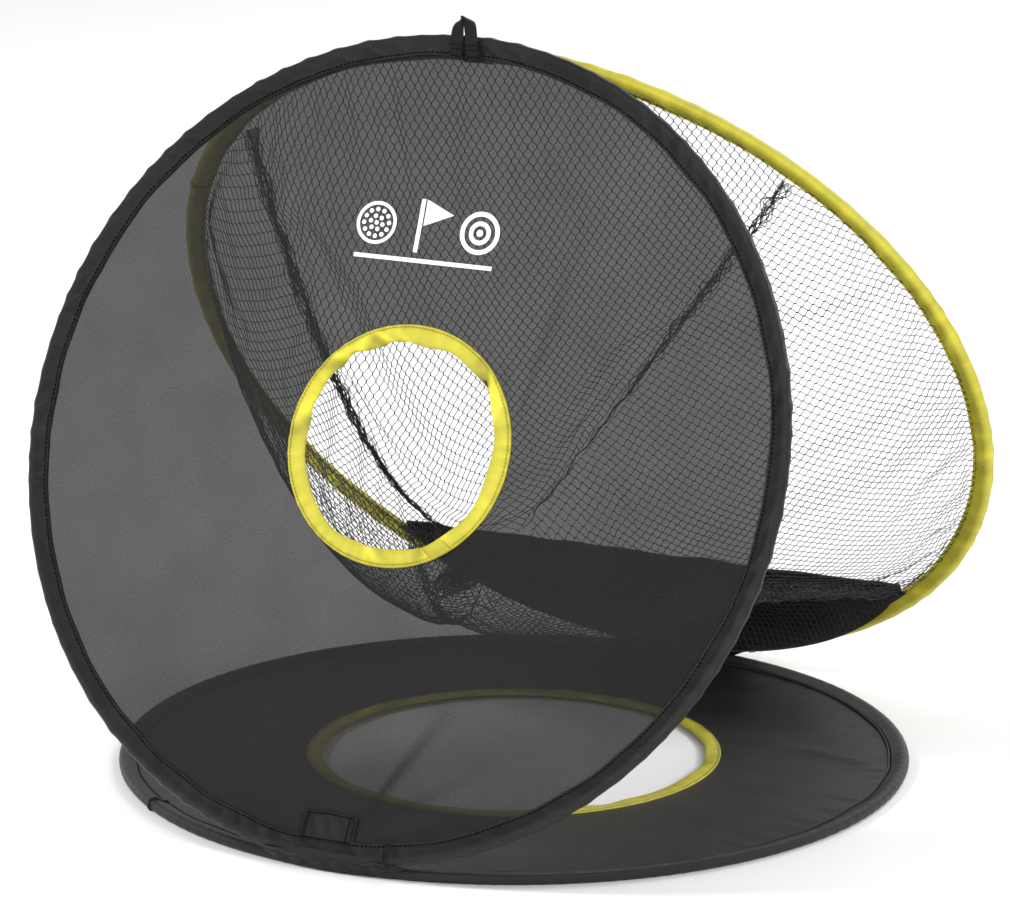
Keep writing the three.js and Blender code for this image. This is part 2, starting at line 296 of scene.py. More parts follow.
def makeFloor():
    paper = Finish("palePaper", 0.85, 0.1)
    paper.useSpace()
    grain = paper.noise(4, 2)
    floorPaint = paper.paint(paper.shades(grain, (0.90, 0.90, 0.895), (0.92, 0.92, 0.915)))
    bm = bmesh.new()
    bmesh.ops.create_grid(bm, x_segments=4, y_segments=4, size=studio["floorSize"])
    mesh = bpy.data.meshes.new("paperFloor")
    bm.to_mesh(mesh)
    bm.free()
    mesh.materials.append(floorPaint)
    floor = bpy.data.objects.new("paperFloor", mesh)
    bpy.context.scene.collection.objects.link(floor)
    floor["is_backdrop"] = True


makeStudio()
makeFloor()
blackSleeve = makeCloth("blackSleeve", (0.003, 0.003, 0.0034), (0.013, 0.013, 0.014), 0.0007, 0.27, 0.22, 0.6)
groundSatin = makeCloth("groundSatin", (0.008, 0.008, 0.0086), (0.015, 0.015, 0.0158), 0.0007, 0.34, 0.26, 0.35)
lowerCloth = makeCloth("lowerCloth", (0.005, 0.005, 0.0055), (0.012, 0.012, 0.013), 0.0008, 0.5, 0.22, 0.4)
patchCloth = makeCloth("patchCloth", (0.004, 0.004, 0.0045), (0.011, 0.011, 0.012), 0.0007, 0.42, 0.24, 0.8)
sheerCloth = makeSheer()
yellowBinding = makeYellow()
netTwine = makeTwine("netTwine", (0.006, 0.006, 0.0065), (0.030, 0.030, 0.031))
blackThread = makeTwine("blackThread", (0.001, 0.001, 0.001), (0.004, 0.004, 0.004), 0.02)
yellowThread = makeTwine("yellowThread", (0.13, 0.11, 0.003), (0.30, 0.25, 0.006))
blackWebbing = makeWebbing()
whitePrint = makePrint()
springSteel = makeSteel("springSteel", (0.55, 0.56, 0.58))
ferruleSteel = makeSteel("ferruleSteel", (0.62, 0.6, 0.55))
print("studio and materials made")


# helpers for the pieces
def getPoints(mesh):
    points = np.empty(len(mesh.vertices) * 3)
    mesh.vertices.foreach_get("co", points)
    return points.reshape(-1, 3)


def setPoints(mesh, points):
    mesh.vertices.foreach_set("co", np.ascontiguousarray(points, float).ravel())
    mesh.update()


# a smooth random ripple round a ring, about -1 to 1
def waves(angle, lowest, highest, seed):
    own = np.random.default_rng(seed)
    total = np.zeros_like(angle)
    counts = range(lowest, highest + 1)
    for count in counts:
        total = total + own.normal() * np.cos(count * angle + own.uniform(0, 2 * math.pi))
    return total / math.sqrt(len(counts)) * 1.1


# a smooth random hilliness over a sheet, about -1 to 1; size is the usual width of a hill
def bumps(x, y, size, seed, count=14):
    own = np.random.default_rng(seed)
    total = np.zeros_like(x)
    for _ in range(count):
        heading, wide = own.uniform(0, 2 * math.pi), size * own.uniform(0.7, 1.6)
        total = total + np.cos((x * math.cos(heading) + y * math.sin(heading)) * math.pi / wide
                               + own.uniform(0, 2 * math.pi))
    return total / math.sqrt(count)


# how strongly a point lies on a crease from start to end; it fades at both ends
def nearLine(x, y, start, end, width, rise=0.15):
    dx, dy = end[0] - start[0], end[1] - start[1]
    length = math.hypot(dx, dy)
    along = ((x - start[0]) * dx + (y - start[1]) * dy) / length ** 2
    across = ((x - start[0]) * dy - (y - start[1]) * dx) / length
    ends = np.clip(along / rise, 0, 1) * np.clip((1 - along) / 0.6, 0, 1)
    return np.exp(-(across / (width * (0.4 + np.clip(along, 0, 1)))) ** 2) * ends


# puts a mesh made in the hoop's own plane where the frame has it, and fastens it to its body
def makePiece(name, bm, place, finish, body, nodes=(), shape=None, layout=None, period=None,
              thickness=0.0, blend=None):
    bmesh.ops.recalc_face_normals(bm, faces=bm.faces)
    mesh = bpy.data.meshes.new(name)
    bm.to_mesh(mesh)
    bm.free()
    flat = getPoints(mesh)
    u, v = layout(flat) if layout else (flat[:, 0], flat[:, 1])
    paintMap(mesh, u, v, period)
    if shape:
        moved = shape(flat)
        setPoints(mesh, moved)
        # how far the shape raises each point, kept for the painted fold shading
        paintFoldShading(mesh, np.sign(flat[:, 2]) * (moved[:, 2] - flat[:, 2]))
    mesh.transform(place)
    mesh.shade_smooth()
    mesh.materials.append(finish)
    return fasten(name, mesh, body, nodes, thickness, blend)


# ridge is above 0 on top of a fold and below 0 in its valley; the colours paint highlight on the top and shade in
# the valley
def paintFoldShading(mesh, raised):
    layer = mesh.attributes.new("ridge", "FLOAT", "POINT")
    layer.data.foreach_set("value", np.clip(raised / (1.5 * mm), -1, 1).astype(np.float32))


def fasten(name, mesh, body, nodes=(), thickness=0.0, blend=None):
    piece = bpy.data.objects.new(name, mesh)
    bpy.context.scene.collection.objects.link(piece)
    if thickness:
        wall = piece.modifiers.new("clothWall", "SOLIDIFY")
        wall.thickness, wall.offset = thickness, 0.0
    if nodes:
        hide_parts(*nodes)
    if blend:
        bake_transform(piece)
    else:
        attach(piece, body)
    return piece


def paintMap(mesh, u, v, period=None):
    layer = mesh.uv_layers.new(name="weave")
    corners = np.empty(len(mesh.loops), int)
    mesh.loops.foreach_get("vertex_index", corners)
    across, up = u[corners].copy(), v[corners]
    if period:          # keeps a face that spans the join from running all the way back
        first, count = np.empty(len(mesh.polygons), int), np.empty(len(mesh.polygons), int)
        mesh.polygons.foreach_get("loop_start", first)
        mesh.polygons.foreach_get("loop_total", count)
        across -= period * np.round((across - np.repeat(across[first], count)) / period)
    layer.uv.foreach_set("vector", np.stack([across, up], 1).ravel().astype(np.float32))


# turns an outline of (radius, height) points once round the hoop's axis
def spinProfile(profile, steps):
    bm = bmesh.new()
    corners = [bm.verts.new((r, 0, z)) for r, z in profile]
    edges = [bm.edges.new((a, b)) for a, b in zip(corners, corners[1:] + corners[:1])]
    bmesh.ops.spin(bm, geom=corners + edges, cent=(0, 0, 0), axis=(0, 0, 1), angle=2 * math.pi, steps=steps,
                   use_merge=True)
    return bm


# a ring of raised stitches
def spinStitches(radius, height, length, wide, count):
    bm = bmesh.new()
    bmesh.ops.create_uvsphere(bm, u_segments=6, v_segments=4, radius=0.5)
    bmesh.ops.scale(bm, vec=(wide, wide * 0.8, length), verts=bm.verts)
    bmesh.ops.rotate(bm, cent=(0, 0, 0), matrix=Matrix.Rotation(math.radians(90), 3, "X"), verts=bm.verts)
    bmesh.ops.translate(bm, vec=(radius, 0, height), verts=bm.verts)
    parts = bm.verts[:] + bm.edges[:] + bm.faces[:]
    bmesh.ops.spin(bm, geom=parts, cent=(0, 0, 0), axis=(0, 0, 1), angle=2 * math.pi * (count - 1) / count,
                   steps=count - 1, use_duplicate=True)
    return bm


def ringLayout(radius):
    def layout(flat):
        angle = np.arctan2(flat[:, 1], flat[:, 0])
        return angle * radius, np.hypot(flat[:, 0], flat[:, 1]) + flat[:, 2]
    return layout


# twine or thread along each line of points, as round tubes with closed ends
def threadMesh(name, lines, radius, finish, rounding=0):
    curve = bpy.data.curves.new(name, "CURVE")
    curve.dimensions, curve.resolution_u = "3D", 1
    curve.bevel_depth, curve.bevel_resolution, curve.use_fill_caps = radius, rounding, True
    for points in lines:
        spline = curve.splines.new("POLY")
        spline.points.add(len(points) - 1)
        spline.points.foreach_set("co", np.c_[np.asarray(points), np.ones(len(points))].ravel())
    holder = bpy.data.objects.new(name, curve)
    mesh = bpy.data.meshes.new_from_object(holder)
    bpy.data.objects.remove(holder)
    bpy.data.curves.remove(curve)
    mesh.name = name
    mesh.shade_smooth()
    mesh.materials.clear()
    mesh.materials.append(finish)
    return mesh


def makeThreads(name, lines, radius, finish, place, body, nodes=()):
    mesh = threadMesh(name, lines, radius, finish)
    mesh.transform(place)
    return fasten(name, mesh, body, nodes)


# the hoop's own plane: x across, y up the slope, z out on the front hoop and into the tent on the rear one
def hoopPlane(node, lean, back):
    low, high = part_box(node)
    slope = math.radians(lean)
    up = Vector((0, back * math.cos(slope), math.sin(slope)))
    out = Vector((1, 0, 0)).cross(up)
    turned = Matrix(((1, up.x, out.x), (0, up.y, out.y), (0, up.z, out.z))).to_4x4()
    return Matrix.Translation((Vector(low) + Vector(high)) / 2) @ turned


groundPlane = Matrix.Translation((0, 0, 4.5 * mm))
frontPlane = hoopPlane("front_cloth", 67.8, 1)
rearPlane = hoopPlane("rear_sleeve", 56.3, -1)

for name, finish in (("ground_hoop", springSteel), ("front_hoop", springSteel), ("rear_hoop", springSteel),
                     ("ground_hoop_ferrule", ferruleSteel), ("front_hoop_ferrule", ferruleSteel),
                     ("rear_hoop_ferrule", ferruleSteel), ("front_tie_tab", blackWebbing),
                     ("rear_tie_tab", blackWebbing)):
    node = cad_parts[name]
    node.data.materials.clear()
    node.data.materials.append(finish)

# sleeves
sleeves = {
    "ground": dict(radius=303 * mm, finish=groundSatin, thread=blackThread, gathers=150, depth=0.4 * mm,
                   slant=1.2, slot="black_binding", seed=3),
    "front": dict(radius=305 * mm, finish=blackSleeve, thread=blackThread, gathers=88, depth=1.35 * mm,
                  slant=3.8, slot="black_binding", seed=5),
    "rear": dict(radius=334 * mm, finish=yellowBinding, thread=yellowThread, gathers=70, depth=1.0 * mm,
                 slant=2.6, slot="yellow_binding", seed=8),
}
sleeveWidth, beadRadius, edgeHalf, stitchInset = 16 * mm, 4.5 * mm, 1.5 * mm, 2.4 * mm


# the cloth of a sleeve is gathered a little by its stitches, in slanted puckers
def sleeveRipple(radius, gathers, depth, slant, seed):
    def shape(flat):
        angle = np.arctan2(flat[:, 1], flat[:, 0])
        reach = np.hypot(flat[:, 0], flat[:, 1])
        height = flat[:, 2]
        fromBead = reach - (radius - beadRadius)
        share = np.clip(-fromBead / (sleeveWidth - beadRadius), 0, 1)     # 0 on the bead, 1 at the inner edge
        outward = np.clip(fromBead / beadRadius, 0, 1)
        phase = gathers * angle + slant * share * np.sign(height) + 2.2 * waves(angle, 3, 17, seed)
        crest = (0.5 + 0.5 * np.cos(phase)) ** 2.5
        strength = 0.35 + 0.65 * np.clip(0.5 + 0.6 * waves(angle, 2, 23, seed + 1), 0, 1)
        raised = depth * crest * strength * (0.35 + 0.9 * np.sin(math.pi * np.clip(share + 0.15, 0, 1)))
        wander = 0.5 * mm * waves(angle, 3, 40, seed + 2) * share
        factor = (reach + raised * outward + wander) / reach
        lift = (np.sign(height) * raised * np.sqrt(1 - outward ** 2)
                + 0.35 * mm * waves(angle, 5, 26, seed + 3) * share
                - np.sign(height) * 0.7 * mm
                * np.exp(-((reach - radius + sleeveWidth - stitchInset) / (0.9 * mm)) ** 2)
                * np.clip(np.abs(height) / mm - 0.8, 0, 1))
        return np.stack([flat[:, 0] * factor, flat[:, 1] * factor, np.maximum(height + lift, -4.45 * mm)], 1)
    return shape


def makeSleeve(body, plane, settings):
    radius = settings["radius"]
    bead = radius - beadRadius
    inner = radius - sleeveWidth
    profile = [(bead + beadRadius * math.cos(a), beadRadius * math.sin(a))
               for a in np.radians(np.linspace(-128, 128, 15))]
    slope = np.r_[np.linspace(0.12, 0.6, 5), np.linspace(0.68, 1, 8)]
    start = profile[-1]
    upper = [(start[0] + (inner - start[0]) * s, start[1] + (edgeHalf - start[1]) * min(1, s * 1.9))
             for s in slope]
    upper[-1] = (inner + 0.4 * mm, edgeHalf * 0.8)
    lower = [(r, -z) for r, z in reversed(upper)]
    bm = spinProfile(profile + upper + [(inner - 0.1 * mm, 0)] + lower, 720)
    ripple = sleeveRipple(radius, settings["gathers"], settings["depth"], settings["slant"], settings["seed"])
    makePiece(body + "_sleeve_gathered", bm, plane, settings["finish"], body, [body + "_sleeve"], ripple,
              ringLayout(radius), 2 * math.pi * radius)
    count = int(2 * math.pi * inner / (3.4 * mm))
    for side, height in (("outer", edgeHalf + 0.25 * mm), ("inner", -edgeHalf - 0.25 * mm)):
        bm = spinStitches(inner + stitchInset, height, 2.5 * mm, 1.25 * mm, count)
        makePiece(f"{body}_sleeve_stitches_{side}", bm, plane, settings["thread"], body, (),
                  ripple, ringLayout(radius), 2 * math.pi * radius)


for body, plane in (("ground", groundPlane), ("front", frontPlane), ("rear", rearPlane)):
    makeSleeve(body, plane, sleeves[body])
print("sleeves made")

# stretched cloths of the ground and front hoops
frontCloth = dict(inner=80 * mm, outer=295.5 * mm, rings=96, steps=600)
groundCloth = dict(inner=149.5 * mm, outer=293.5 * mm, rings=30, steps=288)


# a flat ring of cloth, from its hole outwards
def ringSheet(settings):
    bm = bmesh.new()
    rim = bmesh.ops.create_circle(bm, radius=settings["inner"], segments=settings["steps"])["verts"]
    edges = list({edge for corner in rim for edge in corner.link_edges})
    reaches = np.linspace(settings["inner"], settings["outer"], settings["rings"])
    for before, after in zip(reaches, reaches[1:]):
        grown = bmesh.ops.extrude_edge_only(bm, edges=edges)["geom"]
        corners = [part for part in grown if isinstance(part, bmesh.types.BMVert)]
        edges = [part for part in grown if isinstance(part, bmesh.types.BMEdge)]
        bmesh.ops.scale(bm, vec=(after / before, after / before, 1), verts=corners)
    return bm


# how far the front cloth stands out of its plane: slack waves, pulls at the rims and creases at the patch
def frontHeight(x, y):
    reach, angle = np.hypot(x, y), np.arctan2(y, x)
    free = np.clip((reach - 0.09) / 0.03, 0, 1) * np.clip((0.288 - reach) / 0.05, 0, 1)
    height = 1.1 * mm * bumps(x, y, 0.16, 21) * free + 0.35 * mm * bumps(x, y, 0.05, 22) * free
    rim = np.clip((reach - 0.235) / 0.05, 0, 1)
    height = height + 0.45 * mm * waves(angle, 40, 90, 23) * rim * np.clip((0.292 - reach) / 0.02, 0, 1)
    hole = np.clip((0.125 - reach) / 0.04, 0, 1)
    height = height + 0.4 * mm * waves(angle, 12, 34, 24) * hole * np.clip((reach - 0.086) / 0.01, 0, 1)
    for start, end, width, rise, _ in frontCreases:
        height = height + rise * nearLine(x, y, start, end, width)
    return height


# start and end of each crease, its width, how far it stands out, and how strongly it shows
frontCreases = (((0.017, -0.278), (0.080, -0.178), 6.0 * mm, 3.2 * mm, 1.0),
                ((0.020, -0.282), (0.125, -0.212), 6.5 * mm, -2.2 * mm, 0.4),
                ((0.026, -0.285), (0.165, -0.240), 7.0 * mm, 1.6 * mm, 0.25),
                ((-0.026, -0.285), (-0.110, -0.247), 7.0 * mm, 1.2 * mm, 0.15),
                ((0.090, 0.020), (0.120, 0.190), 7.0 * mm, 1.2 * mm, 0.3),
                ((0.066, -0.060), (0.082, 0.100), 7.0 * mm, 1.2 * mm, 0.3))


# doubled is where the cloth lies over itself
def paintCreases(mesh, points):
    doubled = np.zeros(len(points))
    for start, end, width, _, strength in frontCreases:
        doubled += strength * nearLine(points[:, 0], points[:, 1], start, end, width * 0.8)
    layer = mesh.attributes.new("doubled", "FLOAT", "POINT")
    layer.data.foreach_set("value", np.clip(doubled, 0, 1).astype(np.float32))


# where each wrinkle starts round the sleeve, in degrees, its width and its height in mm
groundCreases = ((-52, 7, 1.6), (-36, 5, -1.2), (-118, 6, 1.5), (-101, 5, -1.1), (18, 7, 1.2), (63, 8, 1.0))


def groundHeight(x, y):
    reach, angle = np.hypot(x, y), np.arctan2(y, x)
    free = np.clip((reach - 0.158) / 0.02, 0, 1) * np.clip((0.287 - reach) / 0.03, 0, 1)
    height = 0.7 * mm * bumps(x, y, 0.14, 31) * free
    height = height + 0.14 * mm * waves(angle, 14, 40, 32) * free
    rim = np.clip((reach - 0.25) / 0.03, 0, 1) * np.clip((0.291 - reach) / 0.012, 0, 1)
    height = height + 0.3 * mm * waves(angle, 50, 120, 33) * rim
    for turn, width, rise in groundCreases:
        a = math.radians(turn)
        start = (0.284 * math.cos(a), 0.284 * math.sin(a))
        end = (0.19 * math.cos(a + 0.3), 0.19 * math.sin(a + 0.3))
        height = height + rise * mm * nearLine(x, y, start, end, width * mm)
    return np.maximum(height, -2.2 * mm)


def sheetShape(heights):
    def shape(flat):
        return np.stack([flat[:, 0], flat[:, 1], flat[:, 2] + heights(flat[:, 0], flat[:, 1])], 1)
    return shape


front = makePiece("front_cloth_sheer", ringSheet(frontCloth), frontPlane, sheerCloth, "front",
                  ["front_cloth"], sheetShape(frontHeight))
low = getPoints(front.data) @ np.array(frontPlane.to_3x3())
paintCreases(front.data, low - np.array(frontPlane.translation) @ np.array(frontPlane.to_3x3()))
ground = makePiece("ground_cloth_satin", ringSheet(groundCloth), groundPlane, groundSatin, "ground",
                   ["ground_cloth"], sheetShape(groundHeight), thickness=0.5 * mm)
print("stretched cloths made")

# yellow bindings round the two holes
bindings = {
    "front": dict(inner=76.5 * mm, outer=89.5 * mm, half=1.5 * mm, folds=13, fold=2.5 * mm, wander=1.6 * mm,
                  seed=41, join=-58),
    "ground": dict(inner=147 * mm, outer=159 * mm, half=1.1 * mm, folds=18, fold=0.9 * mm, wander=0.9 * mm,
                   seed=45, join=100),
}


def bindingShape(settings):
    middle = (settings["inner"] + settings["outer"]) / 2
    width = settings["outer"] - settings["inner"]
    own = np.random.default_rng(settings["seed"])
    folds = [(own.uniform(-math.pi, math.pi), own.uniform(0.5, 1.0), own.choice([-1, 1]),
              own.uniform(0.05, 0.11))
             for _ in range(settings["folds"])]

    def shape(flat):
        angle = np.arctan2(flat[:, 1], flat[:, 0])
        reach = np.hypot(flat[:, 0], flat[:, 1])
        share = (reach - settings["inner"]) / width         # 0 at the hole, 1 at the stitches
        height = flat[:, 2]
        free = 1 - np.clip(share, 0, 1)
        pull = settings["wander"] * (waves(angle, 2, 5, settings["seed"] + 1) * 0.6
                                     + waves(angle, 6, 15, settings["seed"] + 2) * 0.5) * free
        lift = np.zeros_like(angle)
        for where, much, lean, wide in folds:
            off = (angle - where - lean * 0.16 * share + math.pi) % (2 * math.pi) - math.pi
            ridge = np.exp(-(off / wide) ** 2) - 0.7 * np.exp(-((off - lean * wide * 1.5) / wide) ** 2)
            lift += (settings["fold"] * much * ridge * (0.25 + 0.75 * free)
                     * np.clip((1.02 - share) / 0.2, 0, 1))
            pull += settings["fold"] * 0.6 * much * np.exp(-(off / wide) ** 2) * free
        lift += 0.25 * mm * waves(angle, 30, 70, settings["seed"] + 3) * np.clip(share, 0, 1)
        factor = (reach + pull) / reach
        swell = 1 + 0.35 * np.sin(math.pi * np.clip(share, 0, 1))
        return np.stack([flat[:, 0] * factor, flat[:, 1] * factor,
                         height * (swell - 0.35 * np.exp(-((share - 0.84) / 0.06) ** 2))
                         + lift * (0.6 + 0.4 * np.sign(height))], 1)
    return shape, middle


def makeBinding(body, plane, settings):
    inner, outer, half = settings["inner"], settings["outer"], settings["half"]
    shape, middle = bindingShape(settings)
    across = np.r_[np.linspace(inner + half * 0.6, outer - 3.6 * mm, 8),
                   np.linspace(outer - 2.9 * mm, outer - 0.5 * mm, 6)]
    top = [(r, half) for r in across] + [(outer, half * 0.45)]
    fold = [(inner + half * 0.6 - half * 0.75 * math.sin(a), half * math.cos(a))
            for a in np.radians((30, 60, 90, 120, 150))]
    profile = list(reversed(top)) + fold + [(r, -z) for r, z in top]
    makePiece(body + "_hole_binding", spinProfile(profile, 360), plane, yellowBinding, body,
              [body + "_hole_trim"], shape, ringLayout(middle), 2 * math.pi * middle)
    count = int(2 * math.pi * outer / (3.2 * mm))
    for side, sign in (("outer", 1), ("inner", -1)):
        bm = spinStitches(outer - 2 * mm, sign * (half + 0.22 * mm), 2.3 * mm, 0.62 * mm, count)
        makePiece(f"{body}_hole_stitches_{side}", bm, plane, yellowThread, body, (), shape,
                  ringLayout(middle), 2 * math.pi * middle)
    # the end of the binding is turned under and laps over its start
    bm = bmesh.new()
    bmesh.ops.create_grid(bm, x_segments=16, y_segments=14, size=0.5)

    def lap(flat):
        angle = math.radians(settings["join"]) + (flat[:, 0] + 0.28 * flat[:, 1]) * (16 * mm / middle)
        reach = middle + flat[:, 1] * (outer - inner - 0.6 * mm)
        edge = np.clip((0.5 - np.abs(flat[:, 0])) / 0.12, 0, 1)
        rest = np.stack([reach * np.cos(angle), reach * np.sin(angle), np.full_like(angle, half)], 1)
        placed = shape(rest)
        placed[:, 2] += 0.15 * mm + 0.55 * mm * np.sqrt(edge)
        return placed
    makePiece(body + "_hole_binding_lap", bm, plane, yellowBinding, body, (), lap,
              lambda flat: (flat[:, 0] * 0.016, flat[:, 1] * 0.012),
              thickness=0.5 * mm)


for body, plane in (("front", frontPlane), ("ground", groundPlane)):
    makeBinding(body, plane, bindings[body])
print("bindings made")

# the net bag
net = dict(mouth=315.5 * mm, lift=3 * mm, depth=202 * mm, side=14 * mm, rise=4 * mm, gather=17 * mm,
           sags=((0, 14), (45, 2), (90, 26), (135, 84), (180, 92), (227, 64), (270, 56), (313, 12),
                 (360, 14)),
           seams=(45, 135, 227, 313), rows=44, columns=168, slack=0.03, steps=34,
           cellWide=6.8 * mm, cellHigh=8.6 * mm, knot=0.8 * mm, twine=0.33 * mm)
knotGap = 0.22 * mm      # how far the two threads of a knot lie from its middle
rearTurn = rearPlane.to_3x3()
downhill = np.array(rearTurn.inverted() @ Vector((0, 0, -1)))
gatherPoint = np.array((net["side"], net["rise"], net["depth"]))


# the net's mouth lies on the sleeve, and along the straight hem between the two lower seams
def mouthPoint(angle):
    low, high = math.radians(net["seams"][2]), math.radians(net["seams"][3])
    angle = np.mod(angle, 2 * math.pi)
    onArc = np.stack([net["mouth"] * np.cos(angle), net["mouth"] * np.sin(angle),
                      np.full_like(angle, net["lift"])], -1)
    share = (angle - low) / (high - low)
    ends = [np.array((net["mouth"] * math.cos(a), net["mouth"] * math.sin(a), net["lift"]))
            for a in (low, high)]
    onHem = ends[0] + (ends[1] - ends[0]) * share[..., None]
    return np.where(((share > 0) & (share < 1))[..., None], onHem, onArc)


# how far the bag hangs below a straight line to its gather
def bagSag(angle):
    degrees = np.mod(np.degrees(angle), 360)
    total = np.zeros_like(degrees)
    for (start, low), (end, high) in zip(net["sags"], net["sags"][1:]):
        share = np.clip((degrees - start) / (end - start), 0, 1)
        between = (degrees >= start) & (degrees < end)
        total = np.where(between, low + (high - low) * share * share * (3 - 2 * share), total)
    return total * mm


# depth runs from 0 at the mouth to 1 at the gather
def bagPoint(angle, depth):
    ring = gatherPoint + net["gather"] * np.stack([np.cos(angle), np.sin(angle), np.zeros_like(angle)], -1)
    start = mouthPoint(angle)
    t = depth[..., None]
    hang = bagSag(angle)[..., None] * 4 * t * (1 - t)
    return start + (ring - start) * t + downhill * hang


# the bag as a grid of points, hung as cloth between the mouth, the four seams and the gather
def hangBag():
    angles = np.radians(np.linspace(0, 360, net["columns"], endpoint=False))
    depths = np.linspace(0, 1, net["rows"])
    ringAngle, ringDepth = np.meshgrid(angles, depths)
    grid = bagPoint(ringAngle, ringDepth)
    bm = bmesh.new()
    bmesh.ops.create_cone(bm, segments=net["columns"], radius1=1, radius2=1, depth=1, cap_ends=False)
    lengths = [edge for edge in bm.edges if abs(edge.verts[0].co.z - edge.verts[1].co.z) > 0.5]
    bmesh.ops.subdivide_edges(bm, edges=lengths, cuts=net["rows"] - 2, use_grid_fill=True)
    mesh = bpy.data.meshes.new("hangingBag")
    bm.to_mesh(mesh)
    bm.free()
    points = getPoints(mesh)
    column = np.round(np.mod(np.arctan2(points[:, 1], points[:, 0]), 2 * math.pi)
                      / (2 * math.pi) * net["columns"]).astype(int) % net["columns"]
    row = np.round((points[:, 2] + 0.5) * (net["rows"] - 1)).astype(int)
    setPoints(mesh, grid[row, column])
    mesh.transform(rearPlane)
    bag = bpy.data.objects.new("hangingBag", mesh)
    bpy.context.scene.collection.objects.link(bag)
    seamColumns = {round(s / 360 * net["columns"]) % net["columns"] for s in net["seams"]}
    held = [i for i in range(len(points)) if row[i] in (0, net["rows"] - 1) or column[i] in seamColumns]
    group = bag.vertex_groups.new(name="held")
    group.add(held, 1.0, "REPLACE")
    cloth = bag.modifiers.new("hang", "CLOTH")
    cloth.settings.vertex_group_mass = "held"
    cloth.settings.quality = 6
    cloth.settings.mass = 0.04
    cloth.settings.tension_stiffness = cloth.settings.compression_stiffness = 6
    cloth.settings.shear_stiffness = 1
    cloth.settings.bending_stiffness = 0.02
    cloth.settings.air_damping = 3
    cloth.settings.shrink_min = -net["slack"]
    cloth.point_cache.frame_start, cloth.point_cache.frame_end = 1, net["steps"]
    for step in range(1, net["steps"] + 1):
        bpy.context.scene.frame_set(step)
    hung = bag.evaluated_get(bpy.context.evaluated_depsgraph_get()).to_mesh()
    settled = getPoints(hung)
    bpy.context.scene.frame_set(1)
    bpy.data.objects.remove(bag)
    back = np.array(rearPlane.inverted())
    settled = settled @ back[:3, :3].T + back[:3, 3]
    grid = grid.copy()
    grid[row, column] = settled
    return grid


bagGrid = hangBag()
print("net bag hung")


# a point of the hung bag; depth below 0 lies on the face of the sleeve
def onBag(angle, depth):
    column = np.mod(angle, 2 * math.pi) / (2 * math.pi) * net["columns"]
    row = np.clip(depth, 0, 1) * (net["rows"] - 1)
    c0, r0 = np.floor(column).astype(int), np.minimum(np.floor(row).astype(int), net["rows"] - 2)
    fc, fr = (column - c0)[..., None], (row - r0)[..., None]
    c1, c0 = (c0 + 1) % net["columns"], c0 % net["columns"]
    return ((bagGrid[r0, c0] * (1 - fc) + bagGrid[r0, c1] * fc) * (1 - fr)
            + (bagGrid[r0 + 1, c0] * (1 - fc) + bagGrid[r0 + 1, c1] * fc) * fr)


# the strands of one gore: zigzags side by side, knotted where they meet, cut along the seams and the mouth
def goreLines(start, end, hemmed):
    start, end = math.radians(start), math.radians(end)
    middle, spread = (start + end) / 2, (end - start) / 2
    if hemmed:
        corner = mouthPoint(np.array(end))
        hemHigh = abs(corner[1] - net["rise"])
        slant = math.hypot(hemHigh, net["depth"])
        halfHem = abs(corner[0])
    else:
        slant = math.hypot(net["mouth"] - net["gather"], net["depth"])
    wide, high, knot = net["cellWide"] / 2, net["cellHigh"] / 2, net["knot"]
    reach = slant * 1.15
    lines = []
    count = int(reach / wide) + 2
    rows = int(reach * 1.6 / high)
    level = np.arange(-rows // 3, rows)
    for column in range(-count, count):
        side = np.where((level + column) % 2 == 0, 1, -1)
        px = np.repeat(column * wide + side * (wide / 2 - knotGap), 2)
        py = np.stack([level * high - knot, level * high + knot], 1).ravel()
        if hemmed:
            depth = 1 - py / slant
            across = px / (halfHem * np.maximum(1 - depth, 0.02) + net["gather"] * depth)
            angle = middle + spread * across
            inside = (np.abs(across) < 1.0) & (depth > -0.02) & (depth < 0.985)
        else:
            away, around = np.hypot(px, py), np.arctan2(px, py)
            depth = 1 - away / slant
            angle = middle + around * slant / net["mouth"]
            inside = (np.abs(angle - middle) < spread) & (depth > -0.018) & (depth < 0.985) & (py > 0)
        points = onBag(angle, depth)
        beyond = np.maximum(-depth, 0)[:, None] * slant
        if hemmed:
            points = points + beyond * np.array((0, -1, 0))
        else:
            points = points + beyond * np.stack([np.cos(angle), np.sin(angle), np.full_like(angle, -0.3)], 1)
        cuts = np.flatnonzero(np.diff(np.concatenate([[0], inside.astype(int), [0]])))
        for first, last in zip(cuts[::2], cuts[1::2]):
            if last - first >= 3:
                lines.append(points[first:last])
    return lines


hemHigh = net["mouth"] * math.sin(math.radians(net["seams"][3]))
panelReach = 333.1 * mm


# the lower panel covers the sleeve at the bottom, and draws back to the sleeve's inner edge at its sides
def panelRadius(y):
    share = (y + panelReach) / (hemHigh + 3 * mm + panelReach)
    return (320 + 13.2 * np.clip(1.05 - 1.25 * share, 0, 1) ** 0.7) * mm


# how far a piece is lifted to lie over the sleeve's bead
def overSleeve(reach):
    return np.interp(reach, np.array((306, 314, 320, 325, 329.5, 333.4)) * mm,
                     np.array((0, 2.6, 4.8, 6.9, 8.1, 6.8)) * mm)


